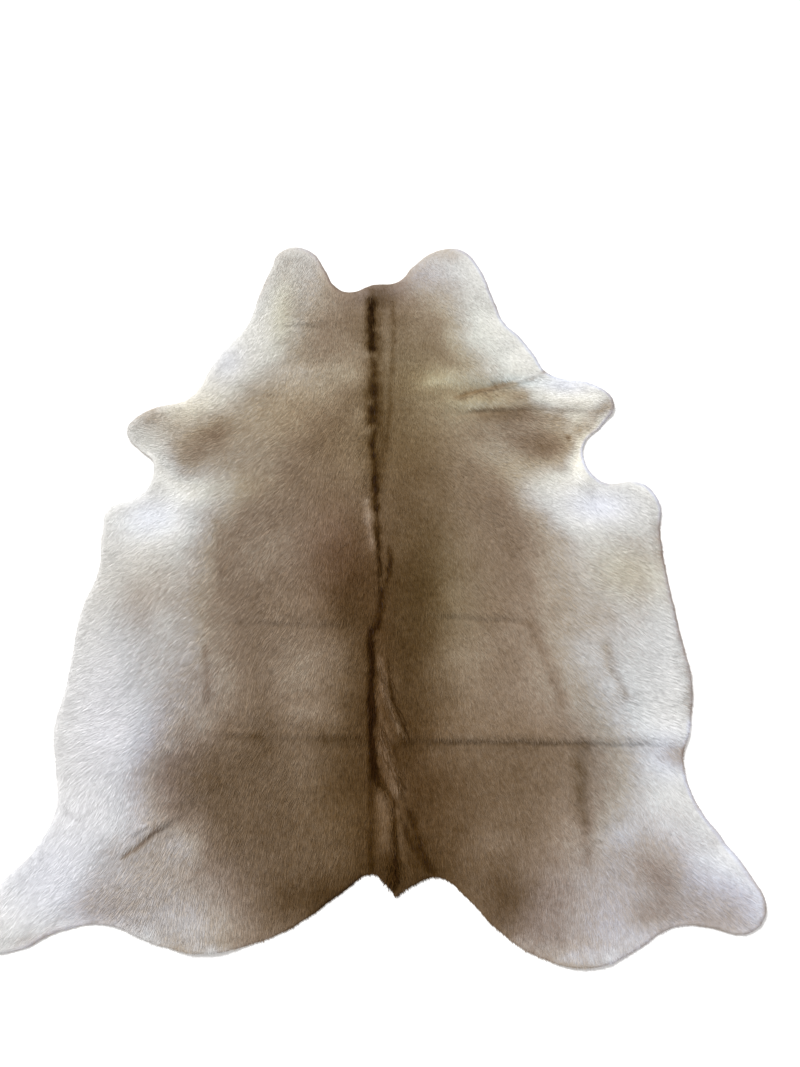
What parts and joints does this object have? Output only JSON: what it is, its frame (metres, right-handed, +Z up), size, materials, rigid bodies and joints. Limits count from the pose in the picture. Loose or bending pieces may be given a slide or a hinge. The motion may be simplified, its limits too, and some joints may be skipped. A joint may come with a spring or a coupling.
{
  "type": "cowhide rug",
  "caption": "Whole tanned cowhide with its hair on, in its natural outline of neck, legs and rump, lying flat as a floor rug.",
  "frame": {"origin": "on the floor, under the middle of the hide's bounding box", "axes": "+Y along the spine from tail to neck, +X to the right seen from the tail, +Z up through the hair side"},
  "size_m": [1.9122, 2.2565, 0.0222],
  "materials": {
    "hide": "short smooth hair, taupe brown over the back, greyish white at the belly edges, neck lobes and legs"
  },
  "bodies": {
    "root": {"hide": "hide"}
  },
  "joints": []
}
